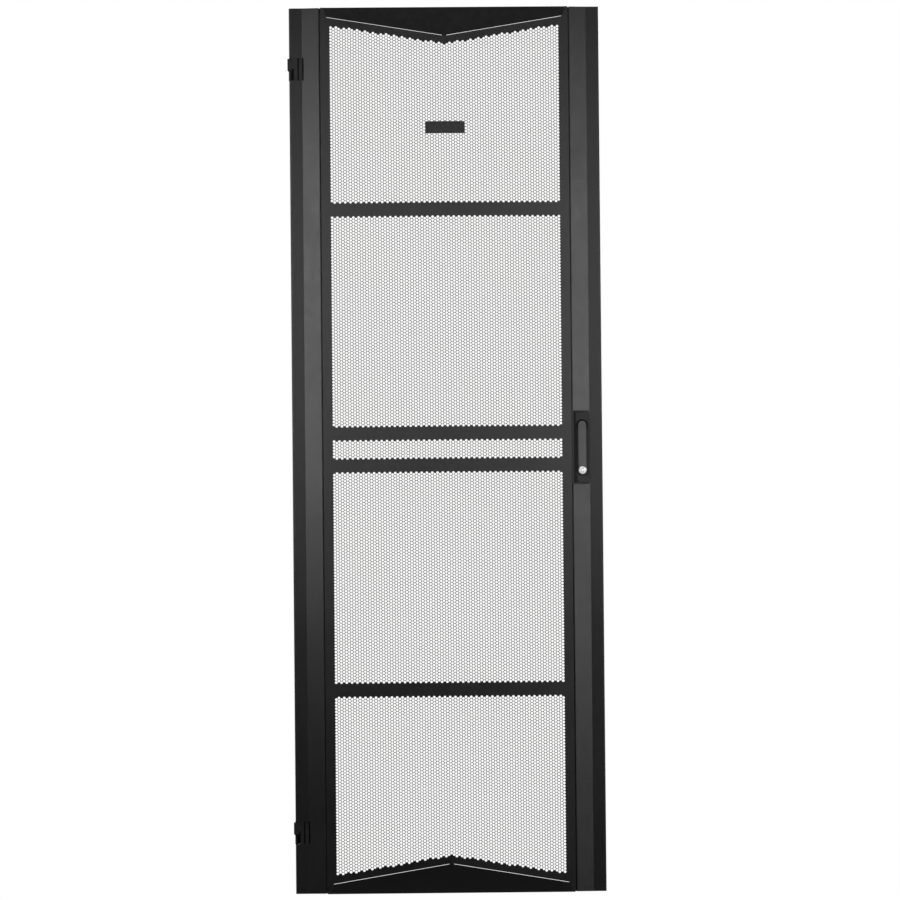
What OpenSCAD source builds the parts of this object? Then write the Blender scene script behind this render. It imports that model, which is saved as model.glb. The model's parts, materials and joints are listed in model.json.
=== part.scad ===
// Perforated door of a server rack, hung on two lift-off hinges and shut by a
// swing handle that drives two locking rods.
// Millimetres. +Z is up, the door's front faces -Y, and +X is to the right seen
// from the front. The origin is the middle of the lower hinge's bolt line, on
// the face of the rack's post.

/* [Door] */
// Width across both pillars
door_w = 682; // [600:1:800]
// Height of the perforated panel
door_h = 1950; // [1850:1:2150]
// Depth of the pillars, from their back lips to their outer strips
door_depth = 28; // [26:1:34]
// Distance between the two hinges
hinge_pitch = 1680; // [1600:1:1740]
// Gap between the closed door and the rack's post
door_gap = 4; // [4:0.5:6]
// Thickness of the pillars, rails and stiffeners
sheet = 1.5; // [1.2:0.1:2]
// Inside radius of the bends in the pillars and rails
bend_r = 1.2; // [0.8:0.1:2]

/* [Pillars] */
// Width of the outer strip, which lies parallel to the door
strip_w = 28; // [26:0.5:32]
// Width of the sloping strip
slope_w = 39.5; // [38:0.5:44]
// Height that the sloping strip gains towards the panel
slope_rise = 8; // [6:0.5:10]
// Width of the two lips along the back of a pillar
lip_w = 14; // [12:0.5:15]
// Amount by which each end of a pillar stops short of the panel
pillar_step = 1.2; // [0.5:0.1:3]

/* [Panel] */
// Thickness of the perforated sheet
panel_sheet = 1.2; // [1:0.1:1.5]
// Gap between the panel and each pillar
seam_gap = 0.05; // [0.02:0.01:0.5]
// Distance from the panel's end to the fold at its sides
fold_side = 19.5; // [16:0.5:24]
// Distance from the panel's end to the fold in the middle
fold_mid = 65; // [50:1:80]
// Width of the long slot that runs along each fold
slot_w = 0.8; // [0.6:0.1:3]
// Distance from the panel's side to a slot
slot_margin = 15; // [12:1:24]
// Width of metal left between two slots, in the middle
slot_bridge = 10; // [8:1:16]
// Width of the small facet at each corner of the panel
corner_w = 9; // [6:1:12]
// Size of the cut corners where the panel and the pillars meet
corner_cut = 2.5; // [1.5:0.5:3]
// Depth of the flange along each side of the panel
side_flange = 14; // [10:1:20]

/* [Perforation] */
// Real hexagonal hole, across its flats
hole_af = 5.5; // [5:0.1:6.2]
// Real distance between the centres of two holes
hole_pitch = 6.7; // [6.4:0.1:8]
// Columns of holes drawn here, each hole being larger than a real one
grille_columns = 11; // [9:2:11]
// Columns of holes drawn in the narrow strip at half height
strip_columns = 27; // [21:2:27]
// Plain margin between the panel's side and the holes
mesh_margin = 20.5; // [18:0.5:26]
// Plain land between a fold and the holes
mesh_land = 15; // [12:0.5:20]
// Height of the unperforated bands
band_h = 26.6; // [22:0.2:30]
// Distance from half height to the two inner bands
inner_band = 35; // [35:0.5:40]
// Distance from half height to the two outer bands
outer_band = 528; // [500:1:560]
// Width of the plain patch for a name plate
patch_w = 86.5; // [60:0.5:120]
// Height of the plain patch
patch_h = 26.7; // [20:0.1:40]
// Height of the patch above half height
patch_z = 708; // [680:1:740]

/* [Stiffeners] */
// Height of a stiffener, behind a band
stiffener_h = 20; // [16:1:22]
// Depth of a stiffener behind the sides of the panel
stiffener_depth = 10; // [8:0.5:12]
// Height of the rails at the door's ends
rail_h = 17; // [16:0.5:18]
// Width of the rails' bottom lip
rail_lip = 10; // [8:1:14]

/* [Hinges] */
// Height of the window for a hinge
window_h = 49.7; // [48:0.1:56]
// Width of that window, from the door's edge
window_w = 31.5; // [30:0.5:34]
// Distance from the door's edge to the hinge pin
pin_inset = 2.2; // [1.5:0.1:3]
// Diameter of the hinge pin
pin_d = 6; // [5:0.5:7]
// Radial clearance of the pin in the door's knuckle
pin_clearance = 0.05; // [0.02:0.01:0.1]
// Outside radius of a knuckle
knuckle_r = 6.2; // [5.6:0.1:6.8]
// Height of the door's knuckle
knuckle_h = 21; // [18:0.5:22]
// Thickness of the door's hinge plate
leaf_t = 2.5; // [2:0.5:3]
// Length of hinge plate that overlaps the pillar above and below the window
leaf_lap = 15; // [10:1:20]
// Thickness of the rack's hinge plate
plate_t = 3; // [2.5:0.5:3.5]
// Thickness of the tongue that carries the pin
tongue_t = 4; // [3:0.5:5]
// Thickness of the washer on the tongue
washer_t = 1; // [0.8:0.1:1.5]
// Distance from the pin to the line of bolts
bolt_offset = 24; // [22:1:28]
// Distance between the two bolts of a hinge
bolt_pitch = 30; // [26:1:32]
// Diameter of the bolt holes
bolt_hole = 6.6; // [5.5:0.1:7]

/* [Handle] */
// Distance from the door's right edge to the handle's axis
handle_inset = 44.5; // [43.5:0.5:46]
// Height of the handle's pivot above half height
pivot_z = 51; // [40:1:60]
// Distance from the pivot to the lock
lever_reach = 99.5; // [90:0.5:100]
// Width of the lever
lever_w = 19.4; // [18:0.2:20.4]
// Thickness of the lever
lever_t = 9.2; // [9:0.1:11]
// Thickness of the lever's walls
lever_wall = 2; // [1.6:0.1:2.4]
// Gap between the folded lever and the door's outer strip
lever_gap = 0.8; // [0.6:0.1:1.2]
// Width of the dish
dish_w = 35.2; // [33.2:0.2:35.6]
// Height of the dish
dish_h = 159.6; // [156:0.2:164]
// Height of the dish's middle above half height
dish_z = 2; // [0:0.5:4]
// Thickness of the dish's floor
dish_floor = 3; // [2.5:0.5:4]
// Depth of the dish's floor behind the outer strip
dish_sink = -0.5; // [-0.5:0.1:0]
// Radius of the round pocket around the pivot
pocket_r = 12.3; // [12:0.1:13]
// Depth of that pocket
pocket_depth = 9; // [8.5:0.5:10]
// Radius of the spindle in the dish
spindle_r = 8; // [7:0.5:8]
// Running clearance of the spindle, the lock and the lever's pin
turn_clearance = 0.05; // [0.02:0.01:0.1]
// Radius of the lever's pin
lever_pin_r = 1.75; // [1.5:0.05:2]

/* [Lock] */
// Radius of the lock's chromed face
lock_face_r = 8.4; // [8.2:0.1:9]
// Radius of the lock's body
lock_r = 7.5; // [7:0.1:7.7]
// Radius of the plug that the key turns
plug_r = 4.6; // [4:0.1:5]

/* [Latch] */
// Radius at which the crank drives the rods
crank_r = 14; // [12:0.5:14]
// Thickness of the crank, the rods and the latch tongue
bar_t = 3; // [2.5:0.5:3]
// Width of a rod
rod_w = 12; // [10:0.5:14]
// Radius of the crank's two drive pins
drive_pin_r = 3; // [2.5:0.5:3]
// Extra room for a drive pin in the rod's slot
drive_room = 0.55; // [0.5:0.05:0.8]
// Sliding clearance of a rod in its guides
slide_clearance = 0.3; // [0.2:0.05:0.5]
// Distance from the panel's end to the end of a rod
rod_end = 30; // [26:1:40]
// Length of the nylon tip on a rod
tip_l = 26; // [20:1:32]
// Length of the latch tongue from its axis
tongue_reach = 31; // [26:1:34]

/* [Hidden] */
$fn = 48;
EPS = 0.01;

// Colours of the finishes
powder_black = "#2b2b2d";
satin_black = "#242426";
zinc = "#a9abad";
chrome = "#d8d9da";
nylon = "#1d1d1f";
rubber = "#151515";

// Depth positions
back_y = -door_gap;
face_y = back_y - door_depth;
seam_y = face_y - slope_rise;

// Width positions, from the door's middle
left_x = -door_w / 2;
ridge_x = door_w / 2 - strip_w;
seam_x = ridge_x - slope_w;
lip_x = seam_x + lip_w;
outer_lip_x = door_w / 2 - lip_w;

// Height positions, from half height
half_h = door_h / 2;
pillar_half = half_h - pillar_step;

// The panel's facets fall back from the folds to the straight ends, and the
// panel is creased forward along its middle to meet them
panel_half = seam_x - seam_gap;
facet_k = slope_rise / fold_side;
crease_y = face_y - facet_k * fold_mid;
crease_k = (seam_y - crease_y) / panel_half;

// The door's middle, seen from the origin
pin_x = -bolt_offset;
pin_y = face_y + sheet + knuckle_r;
mid_x = pin_x - pin_inset + door_w / 2;
mid_z = hinge_pitch / 2;

// Places a piece that is drawn about the door's middle
module at_door() {
    translate([mid_x, 0, mid_z]) children();
}

// Box between two corners
module block(low, high) {
    translate(low) cube(high - low);
}

// Round bar along Y from y0 to y1
module bar_y(r, y0, y1) {
    translate([0, y1, 0]) rotate([90, 0, 0]) cylinder(r = r, h = y1 - y0);
}

// Flat outline in X and Z, given thickness from y0 to y1
module plate_y(y0, y1) {
    translate([0, y1, 0]) rotate([90, 0, 0]) linear_extrude(y1 - y0) children();
}

// Outline in X and Y, given height from z0 to z1
module prism_z(z0, z1) {
    translate([0, 0, z0]) linear_extrude(z1 - z0) children();
}

// Outline in Y and Z, given length along X
module prism_x(x0, x1) {
    translate([x0, 0, 0]) rotate([90, 0, 90]) linear_extrude(x1 - x0) children();
}

// Folded sheet: a path of bends, moved sideways and rounded
bend_steps = 3;
function unit(v) = v / norm(v);
function left_of(v) = [-v[1], v[0]];
function reversed(p) = [for (i = [len(p) - 1 : -1 : 0]) p[i]];
function normal_at(p, i) =
    i == 0 ? left_of(unit(p[1] - p[0])) :
    i == len(p) - 1 ? left_of(unit(p[i] - p[i - 1])) :
    let (a = left_of(unit(p[i] - p[i - 1])), b = left_of(unit(p[i + 1] - p[i])))
    (a + b) / (1 + a * b);
function shifted(p, d) = [for (i = [0 : len(p) - 1]) p[i] + normal_at(p, i) * d];
function bend(a, b, c, r) =
    let (
        u = unit(a - b),
        v = unit(c - b),
        half = acos(u * v) / 2,
        middle = b + unit(u + v) * r / sin(half),
        from = b + u * r / tan(half) - middle,
        to = b + v * r / tan(half) - middle,
        start = atan2(from[1], from[0]),
        turn = (atan2(to[1], to[0]) - start + 540) % 360 - 180
    )
    [for (i = [0 : bend_steps])
        middle + r * [cos(start + turn * i / bend_steps), sin(start + turn * i / bend_steps)]];
function rounded(p, r) = [
    p[0],
    for (i = [1 : len(p) - 2]) each bend(p[i - 1], p[i], p[i + 1], r),
    p[len(p) - 1]
];

// Section of a folded sheet whose outer face follows the path, with the metal
// on the path's left
module folded(path, t) {
    line = rounded(shifted(path, t / 2), bend_r + t / 2);
    polygon(concat(shifted(line, t / 2), reversed(shifted(line, -t / 2))));
}

// Height of the sloping strip's front face at x, and that of its inside
function slope_y(x) = face_y - slope_rise * (ridge_x - x) / slope_w;
slope_inside = sheet * norm([slope_w, slope_rise]) / slope_w;
function slope_back(x) = slope_y(x) + slope_inside;

// Cut across the upper corner of a sheet, through depths from y0 to y1
module cut_corner(x, z, y0, y1) {
    plate_y(y0, y1) polygon([
        [x - corner_cut, z],
        [x - corner_cut, z + 1],
        [x + corner_cut, z + 1],
        [x + corner_cut, z],
        [x, z - corner_cut]
    ]);
}

// Right-hand pillar, a channel open to the back
module pillar_channel() {
    path = [
        [lip_x, back_y],
        [seam_x, back_y],
        [seam_x, seam_y],
        [ridge_x, face_y],
        [door_w / 2, face_y],
        [door_w / 2, back_y],
        [outer_lip_x, back_y]
    ];
    difference() {
        prism_z(-pillar_half, pillar_half) folded(path, sheet);
        for (end = [0, 1]) {
            mirror([0, 0, end]) cut_corner(seam_x, pillar_half, seam_y - 1, face_y + 2 * sheet);
        }
    }
}

module left_pillar() {
    color(powder_black) at_door() difference() {
        mirror([1, 0, 0]) pillar_channel();
        for (side = [-1, 1]) {
            z = side * hinge_pitch / 2;
            block(
                [left_x - 1, seam_y, z - window_h / 2],
                [left_x + window_w, slope_inside + face_y + 1, z + window_h / 2]
            );
            block(
                [left_x - 1, face_y, z - window_h / 2],
                [-outer_lip_x + 1, back_y + 1, z + window_h / 2]
            );
        }
    }
}

// The handle's window lies in the sloping strip
handle_x = door_w / 2 - handle_inset;
dish_left = ridge_x - dish_w - 0.3;
dish_right = ridge_x - 0.3;
dish_low = dish_z - dish_h / 2;
dish_high = dish_z + dish_h / 2;
dish_fit = 0.2;

module right_pillar() {
    color(powder_black) at_door() difference() {
        pillar_channel();
        block(
            [dish_left - dish_fit, seam_y - 1, dish_low - dish_fit],
            [dish_right + dish_fit, face_y + 2 * sheet, dish_high + dish_fit]
        );
        guide_holes();
    }
}

// Heights of the rods' guides. The last one of each rod leaves room for the
// nylon tip, which comes towards it when the rod is drawn back.
guide_h = 22;
crank_lean = 45;
rod_travel = 2 * crank_r * sin(crank_lean);
last_guide = half_h - rod_end - tip_l - rod_travel - guide_h / 2 - 2;
upper_guides = [0.22 * half_h, 0.58 * half_h, last_guide];
lower_guides = [0.27 * half_h, 0.6 * half_h, last_guide];

// Holes for the guides' screws through both lips
guide_hole_r = 1.9;
guide_screw_x = [lip_x - 6.5, outer_lip_x + 7];
guide_z = [each upper_guides, for (z = lower_guides) -z];
module guide_holes() {
    for (z = guide_z) {
        for (x = guide_screw_x) {
            translate([x, 0, z]) bar_y(guide_hole_r, back_y - 2 * sheet, back_y + 1);
        }
    }
}

// Depth of the crease's outer face at x
function crease_face(x) = crease_y + crease_k * abs(x);
function fold_run(x) = fold_mid - (fold_mid - fold_side) * abs(x) / panel_half;

// Corner of the panel: past the slot's end the fold turns to the corner, and a
// small facet falls from there to the straight end. Shift moves it back.
module corner_facet(shift, back) {
    slot_end = panel_half - slot_margin;
    outline = [
        [slot_end, crease_face(slot_end), half_h - fold_run(slot_end)],
        [panel_half, seam_y, half_h - fold_side],
        [panel_half, seam_y, half_h],
        [panel_half - corner_w, face_y, half_h]
    ];
    polyhedron(
        points = concat(
            [for (p = outline) [p[0], p[1] + shift, p[2]]],
            [for (p = outline) [p[0], back, p[2]]]
        ),
        faces = [
            [0, 2, 1], [0, 3, 2], [4, 5, 6, 7],
            [0, 1, 5, 4], [1, 2, 6, 5], [2, 3, 7, 6], [3, 0, 4, 7]
        ]
    );
}

// The panel as a solid block: its plan section crossed with its side section,
// and the corners. Raising inset draws the hollow that leaves the sheet's
// thickness.
module panel_block(inset, back) {
    rise = inset * norm([1, crease_k]);
    side = panel_half - inset;
    nose = facet_k * fold_mid + 20;
    facet = inset * norm([1, facet_k]);
    end = half_h - inset;
    shift = facet - facet_k * inset;
    corner_shift = inset * norm([1, slope_rise / corner_w]);
    intersection() {
        union() {
            intersection() {
                prism_z(-half_h - 1, half_h + 1) polygon([
                    [-side, back],
                    [-side, crease_face(side) + rise],
                    [0, crease_y + rise],
                    [side, crease_face(side) + rise],
                    [side, back]
                ]);
                prism_x(-door_w / 2, door_w / 2) polygon([
                    [back, -end],
                    [face_y + shift, -end],
                    [face_y + shift - nose, -end + nose / facet_k],
                    [face_y + shift - nose, end - nose / facet_k],
                    [face_y + shift, end],
                    [back, end]
                ]);
            }
            for (i = [0, 1]) {
                for (j = [0, 1]) {
                    mirror([i, 0, 0]) mirror([0, 0, j]) corner_facet(corner_shift, back);
                }
            }
        }
        block([-side, crease_y - 1, -end], [side, back + 1, end]);
    }
}

// Hexagonal holes are drawn larger than life, at the real open share
mesh_half = panel_half - mesh_margin;
function hole_scale(columns) =
    mesh_half / ((columns - 1) / 2 * hole_pitch * sqrt(3) / 2 + hole_af / sqrt(3));

module hexagon(x, z, af) {
    translate([x, z]) circle(r = af / sqrt(3), $fn = 6);
}

// Height of the holes' limit at x, under the folds
function mesh_limit(x) = half_h - fold_run(x) - mesh_land;

// One field of holes between two heights, which the folds may cut short. The
// top field leaves the name plate's patch plain.
module hole_field(z0, z1, columns, patch = false) {
    k = hole_scale(columns);
    af = k * hole_af;
    pitch = k * hole_pitch;
    step = pitch * sqrt(3) / 2;
    n = (columns - 1) / 2;
    rows = floor((z1 - z0 - af) / pitch);
    rest = (z1 - z0 - af - rows * pitch) / 2;
    for (i = [-n : n]) {
        for (j = [0 : rows]) {
            x = i * step;
            z = z0 + rest + af / 2 + pitch * (j + (i % 2 == 0 ? 0 : 0.5));
            top = z + af / 2;
            inner = max(0, abs(x) - af / 2 / sqrt(3));
            on_patch = patch && z + af / 2 > patch_z - patch_h / 2 && z - af / 2 < patch_z + patch_h / 2
                && abs(x) < patch_w / 2 + af / 2;
            if (top <= z1 && top <= mesh_limit(inner) && !on_patch) hexagon(x, z, af);
        }
    }
}

// The four larger fields reach from a band to a fold, or from band to band
module all_holes() {
    middle_low = inner_band + band_h / 2;
    middle_high = outer_band - band_h / 2;
    end_low = outer_band + band_h / 2;
    end_high = half_h - fold_side - mesh_land;
    hole_field(end_low, end_high, grille_columns, true);
    hole_field(middle_low, middle_high, grille_columns);
    hole_field(band_h / 2 - inner_band, inner_band - band_h / 2, strip_columns);
    mirror([0, 1]) {
        hole_field(middle_low, middle_high, grille_columns);
        hole_field(end_low, end_high, grille_columns);
    }
}

// Long slots along the four halves of the two folds
module fold_slots() {
    inner = slot_bridge / 2;
    outer = panel_half - slot_margin;
    for (end = [0, 1]) {
        for (side = [0, 1]) {
            mirror([side, 0]) mirror([0, end]) polygon([
                [inner, half_h - fold_run(inner) - slot_w / 2],
                [outer, half_h - fold_run(outer) - slot_w / 2],
                [outer, half_h - fold_run(outer) + slot_w / 2],
                [inner, half_h - fold_run(inner) + slot_w / 2]
            ]);
        }
    }
}

module perforated_panel() {
    trim = seam_y + side_flange;
    color(powder_black) at_door() difference() {
        panel_block(0, back_y);
        panel_block(panel_sheet, back_y + 1);
        for (side = [0, 1]) {
            mirror([side, 0, 0]) block(
                [panel_half - 2 * panel_sheet, trim, -half_h + panel_sheet],
                [panel_half + 1, back_y + 1, half_h - panel_sheet]
            );
        }
        for (i = [0, 1]) {
            for (j = [0, 1]) {
                mirror([i, 0, 0]) mirror([0, 0, j])
                    cut_corner(panel_half, half_h, seam_y - 2, face_y + 2 * sheet);
            }
        }
        plate_y(crease_y - 5, seam_y + 5) {
            all_holes();
            fold_slots();
        }
    }
}

// Rails close the ends, inside the panel's end flanges
module rail() {
    top = half_h - panel_sheet;
    path = [
        [back_y - rail_lip, top - rail_h],
        [back_y, top - rail_h],
        [back_y, top],
        [face_y + 6, top]
    ];
    reach = panel_half - panel_sheet - seam_gap;
    prism_x(-reach, reach) folded(path, sheet);
}

module top_rail() {
    color(powder_black) at_door() rail();
}

stud_x = -0.3 * door_w;
stud_z = -half_h + panel_sheet + rail_h / 2;
stud_r = 3;

module bottom_rail() {
    color(powder_black) at_door() difference() {
        mirror([0, 0, 1]) rail();
        translate([stud_x, 0, stud_z]) bar_y(stud_r + 0.05, back_y - 2 * sheet, back_y + 1);
    }
}

// Stiffener behind a band: a channel whose two webs follow the creased panel
module stiffener(z) {
    inside = panel_sheet * norm([1, crease_k]);
    side = panel_half - panel_sheet - seam_gap;
    rear = seam_y + stiffener_depth + panel_sheet;
    color(powder_black) at_door() difference() {
        prism_z(z - stiffener_h / 2, z + stiffener_h / 2) polygon([
            [-side, rear],
            [-side, crease_face(side) + inside],
            [0, crease_y + inside],
            [side, crease_face(side) + inside],
            [side, rear]
        ]);
        prism_z(z - stiffener_h / 2 + sheet, z + stiffener_h / 2 - sheet) polygon([
            [-side - 1, rear - sheet],
            [-side - 1, crease_y],
            [side + 1, crease_y],
            [side + 1, rear - sheet]
        ]);
    }
}

module upper_stiffener() {
    stiffener(outer_band);
}

module upper_mid_stiffener() {
    stiffener(inner_band);
}

module lower_mid_stiffener() {
    stiffener(-inner_band);
}

module lower_stiffener() {
    stiffener(-outer_band);
}

// Heights in a hinge, from the middle of its window
knuckle_low = 2;
washer_low = knuckle_low - washer_t;
tongue_low = washer_low - tongue_t;
pin_top = knuckle_low + knuckle_h - 2;
pin_head_h = 2;

module at_hinge(z) {
    translate([pin_x, pin_y, z]) children();
}

// Rack's half of a hinge: a bolted plate with a tongue and a web below it
module rack_hinge(z) {
    half = window_h / 2 - 1.5;
    plate_y0 = -plate_t;
    color(satin_black) difference() {
        union() {
            translate([0, 0, z]) block([pin_x - 3, plate_y0, -half], [bolt_offset / 2, 0, half]);
            at_hinge(z) translate([0, 0, tongue_low]) cylinder(r = knuckle_r, h = tongue_t);
            translate([0, 0, z]) block(
                [pin_x - pin_inset, pin_y, tongue_low],
                [pin_x + knuckle_r, plate_y0 + EPS, tongue_low + tongue_t]
            );
            translate([0, 0, z]) block(
                [pin_x - 1.5, pin_y + pin_d, -half],
                [pin_x + 1.5, plate_y0 + EPS, tongue_low + EPS]
            );
        }
        at_hinge(z) translate([0, 0, tongue_low - 1]) cylinder(d = pin_d + 0.04, h = tongue_t + 2);
        for (side = [-1, 1]) {
            translate([0, 0, z + side * bolt_pitch / 2]) bar_y(bolt_hole / 2, plate_y0 - 1, 1);
        }
    }
}

module upper_rack_hinge() {
    rack_hinge(hinge_pitch);
}

module lower_rack_hinge() {
    rack_hinge(0);
}

// Pin with a riveted head under the tongue and a domed top
module hinge_pin(z) {
    r = pin_d / 2;
    dome = 1.5;
    color(zinc) at_hinge(z) {
        translate([0, 0, tongue_low - pin_head_h]) cylinder(r = r + 1.5, h = pin_head_h);
        rotate_extrude() polygon([
            [0, tongue_low - pin_head_h],
            [r, tongue_low - pin_head_h],
            [r, pin_top - dome],
            [r - dome, pin_top],
            [0, pin_top]
        ]);
    }
}

module upper_hinge_pin() {
    hinge_pin(hinge_pitch);
}

module lower_hinge_pin() {
    hinge_pin(0);
}

module hinge_washers() {
    color(nylon) for (z = [0, hinge_pitch]) {
        at_hinge(z + washer_low) difference() {
            cylinder(r = knuckle_r - 0.2, h = washer_t);
            translate([0, 0, -1]) cylinder(d = pin_d + 0.2, h = washer_t + 2);
        }
    }
}

// Door's half of a hinge: a plate behind the outer strip, with a rolled knuckle
// in the upper half of the window and a pressed groove
module door_hinge(z) {
    front = face_y + sheet;
    edge = pin_x - pin_inset;
    inner_edge = edge + sheet + bend_r + 0.6;
    right = edge + window_w - 2.5;
    right_lap = edge + window_w + 3;
    groove_x = edge + 18.3;
    low_left = pin_x + knuckle_r + 2;
    top = window_h / 2 + leaf_lap;
    color(satin_black) difference() {
        union() {
            translate([0, 0, z]) plate_y(front, front + leaf_t) polygon([
                [low_left, -window_h / 2],
                [inner_edge, -window_h / 2 - 1],
                [inner_edge, -top],
                [edge + strip_w - 1, -top],
                [edge + strip_w - 1, -window_h / 2 - 3],
                [right_lap, -window_h / 2 - 3],
                [right_lap, window_h / 2 + 3],
                [edge + strip_w - 1, window_h / 2 + 3],
                [edge + strip_w - 1, top],
                [inner_edge, top],
                [inner_edge, knuckle_low + knuckle_h + 1.5],
                [low_left, knuckle_low + knuckle_h],
                [low_left, -window_h / 2]
            ]);
            at_hinge(z + knuckle_low) cylinder(r = knuckle_r, h = knuckle_h);
            translate([0, 0, z + knuckle_low]) block(
                [pin_x, front, 0],
                [low_left + EPS, front + leaf_t, knuckle_h]
            );
        }
        at_hinge(z + knuckle_low - 1) cylinder(r = pin_d / 2 + pin_clearance, h = knuckle_h + 2);
        translate([0, 0, z]) block(
            [groove_x, front - 1, -window_h / 2],
            [groove_x + 2.5, front + leaf_t / 2, window_h / 2]
        );
        translate([0, 0, z]) block(
            [right, front - 1, -top],
            [right_lap + 1, front + leaf_t / 2, top]
        );
    }
}

module upper_door_hinge() {
    door_hinge(hinge_pitch);
}

module lower_door_hinge() {
    door_hinge(0);
}

// Depths in the handle
floor_y = face_y - dish_sink;
floor_back = floor_y + dish_floor;
pocket_y = floor_y + pocket_depth;
cup_back = pocket_y + 2;
collar_back = cup_back + 4.5;
lever_back = face_y - lever_gap;
lever_front = lever_back - lever_t;
lever_pin_y = lever_back - 3.2;
flange_y = pocket_y - 1;
crank_y = collar_back + 1;
rods_y = crank_y + bar_t + 1.5;
rods_back = rods_y + bar_t;
tongue_y = 2.4;

module at_pivot() {
    translate([mid_x + handle_x, 0, mid_z + pivot_z]) children();
}

module at_lock() {
    at_pivot() translate([0, 0, -lever_reach]) children();
}

// Dish: a tray parallel to the door, set into the sloping strip, with a flat
// rim along the seam, a ramp down to the floor, a deep round pocket at the pivot
// and a pad, flush with the strip, below the lever's end
dish_wall = 1.6;
rim_lap = 1.2;
rim_t = 0.9;
rim_left = seam_x + 0.5;
land_y = slope_y(rim_left) - 0.6;
ramp_high = dish_left + 0.2;
ramp_low = dish_left + 5;
pad_proud = 0.4;
pad_r = 5;
lip_l = 1.5;
clamp_boss_r = 4;
clamp_boss_z = [dish_low + 7.5, dish_high - 7.5];
clamp_boss_x = dish_right - 9;

module dish_pad() {
    left = handle_x - 11;
    right = dish_right - 0.2;
    low = dish_low + dish_wall + 1.5;
    high = pivot_z - lever_reach - lever_w / 2 - 2.5;
    intersection() {
        prism_z(low, high) polygon([
            [left, floor_y + EPS],
            [left, slope_y(left) - pad_proud],
            [right, slope_y(right) - pad_proud],
            [right, floor_y + EPS]
        ]);
        plate_y(seam_y, floor_y + 1) union() {
            translate([left + pad_r, low]) square([right - left - pad_r, high - low]);
            translate([left, low + pad_r]) square([pad_r + EPS, high - low - pad_r]);
            translate([left + pad_r, low + pad_r]) circle(r = pad_r);
        }
    }
}

// Front of the dish's rim, in plan
rim_front = [
    [dish_left + 1.5, land_y],
    [dish_right, slope_y(dish_right) - rim_t]
];

module handle_dish() {
    color(nylon) {
        at_door() difference() {
            union() {
                prism_z(dish_low, dish_high) polygon(concat(
                    [[dish_left, floor_back], [dish_left, land_y]],
                    rim_front,
                    [[dish_right, floor_back]]
                ));
                prism_z(dish_low - rim_lap, dish_high + rim_lap) polygon(concat(
                    [[rim_left, slope_y(rim_left) - 0.05], [rim_left, land_y]],
                    rim_front,
                    [[dish_right, slope_y(dish_right) - 0.05]]
                ));
                block(
                    [dish_right - 1, face_y + sheet + 0.1, dish_low + 3],
                    [dish_right + lip_l, floor_back, dish_high - 3]
                );
                translate([handle_x, 0, pivot_z]) {
                    bar_y(pocket_r + 1.8, floor_y, cup_back);
                    bar_y(spindle_r + 4, floor_y, collar_back);
                }
                for (z = clamp_boss_z) {
                    translate([clamp_boss_x, 0, z]) bar_y(clamp_boss_r, floor_back - EPS, cup_back - 2);
                }
            }
            prism_z(dish_low + dish_wall, dish_high - dish_wall) polygon([
                [ramp_high, seam_y - 5],
                [ramp_high, land_y],
                [ramp_low, floor_y],
                [ridge_x + 5, floor_y],
                [ridge_x + 5, seam_y - 5]
            ]);
            translate([handle_x, 0, pivot_z]) {
                bar_y(pocket_r, floor_y - 1, pocket_y);
                bar_y(spindle_r + turn_clearance, floor_y, collar_back + 1);
            }
            for (z = clamp_boss_z) {
                translate([clamp_boss_x, 0, z]) bar_y(2.05, floor_y + 1.5, cup_back);
            }
        }
        at_door() dish_pad();
    }
}

// Two clamps pull the dish back against the pillar
clamp_back = cup_back - 1.5;
clamp_lap = 12;

module clamp(side) {
    z_end = side > 0 ? dish_high : dish_low;
    boss_z = side > 0 ? clamp_boss_z[1] : clamp_boss_z[0];
    x0 = dish_left + 2;
    x1 = dish_right - 1;
    inner = z_end - side * 16;
    outer = z_end + side * clamp_lap;
    wall = z_end + side * (dish_fit + 0.3);
    difference() {
        union() {
            block(
                [x0, floor_back, min(inner, wall)],
                [x1, clamp_back, max(inner, wall)]
            );
            prism_z(min(wall, outer), max(wall, outer)) polygon([
                [x0, slope_back(x0) + 0.05],
                [x1, slope_back(x1) + 0.05],
                [x1, clamp_back],
                [x0, clamp_back]
            ]);
        }
        translate([clamp_boss_x, 0, boss_z]) bar_y(clamp_boss_r + 0.15, floor_back - 1, clamp_back + 1);
    }
}

module handle_clamps() {
    color(zinc) at_door() for (side = [-1, 1]) clamp(side);
}

module clamp_screws() {
    color(zinc) at_door() for (z = clamp_boss_z) {
        translate([clamp_boss_x, 0, z]) difference() {
            union() {
                bar_y(6, clamp_back, clamp_back + 2.2);
                bar_y(2, floor_y + 2.5, clamp_back + 1);
            }
            translate([0, clamp_back + 1, 0]) plate_y(0, 2) circle(r = 1.8, $fn = 6);
        }
    }
}

// Hub: flange and spindle in the dish, a tenon for the lever in front, and a
// stepped drive for the crank and the latch tongue behind
tenon_w = 8;
tenon_r = 3.6;
crank_square = 10;
neck_r = 4;
tongue_square = 5.6;
stud_tip_r = 2.5;

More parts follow.
